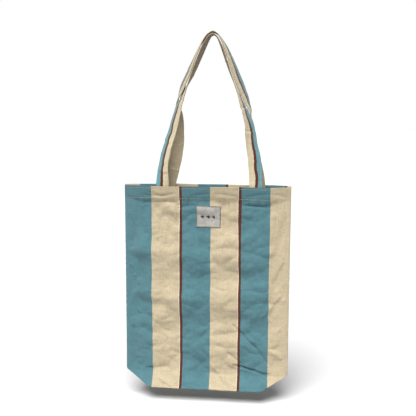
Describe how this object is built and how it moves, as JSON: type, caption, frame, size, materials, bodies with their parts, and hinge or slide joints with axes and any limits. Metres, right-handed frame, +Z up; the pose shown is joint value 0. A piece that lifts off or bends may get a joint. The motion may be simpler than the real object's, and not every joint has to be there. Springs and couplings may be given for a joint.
{
  "type": "canvas tote bag",
  "caption": "Striped canvas tote bag with boxed bottom corners, sewn label and shoulder handles that swing at the hem, hanging from a hook.",
  "frame": {"origin": "where a hook bears on the underside of the front handle's crown", "axes": "+Z up, +X to the right as seen from the front, the bag's front faces -Y"},
  "size_m": [0.356, 0.064, 0.763],
  "materials": {
    "striped_canvas": "matt plain-weave cotton canvas in blue, cream and rust stripes",
    "handle_canvas": "matt cotton canvas strap, striped on one face and cream on the other",
    "label_cloth": "pale grey woven label",
    "label_thread": "matt polyester thread",
    "sewing_thread": "matt cotton-wrapped thread",
    "binding_cotton": "cream cotton seam binding"
  },
  "bodies": {
    "bag": {"back_handle_left_end": "handle_canvas", "back_handle_right_end": "handle_canvas", "back_hem_stitching": "sewing_thread", "back_panel": "striped_canvas", "back_top_stitching": "sewing_thread", "bottom_seam_binding": "binding_cotton", "front_handle_left_end": "handle_canvas", "front_handle_right_end": "handle_canvas", "front_hem_stitching": "sewing_thread", "front_panel": "striped_canvas", "front_top_stitching": "sewing_thread", "label": "label_cloth", "label_stitching": "label_thread", "left_corner_seam_binding": "binding_cotton", "left_side_seam_binding": "binding_cotton", "right_corner_seam_binding": "binding_cotton", "right_side_seam_binding": "binding_cotton"},
    "front_handle": {"front_handle": "handle_canvas", "front_handle_edge_stitching": "sewing_thread"},
    "back_handle": {"back_handle": "handle_canvas", "back_handle_edge_stitching": "sewing_thread"}
  },
  "joints": [
    {"name": "front_handle_swing", "type": "hinge", "parent": "bag", "child": "front_handle", "pos_m": [0, -0.0174, -0.3115], "axis": [1, 0, 0], "range_deg": [0, 160]},
    {"name": "back_handle_swing", "type": "hinge", "parent": "bag", "child": "back_handle", "pos_m": [0, 0.0174, -0.3095], "axis": [1, 0, 0], "range_deg": [-160, 0]}
  ]
}
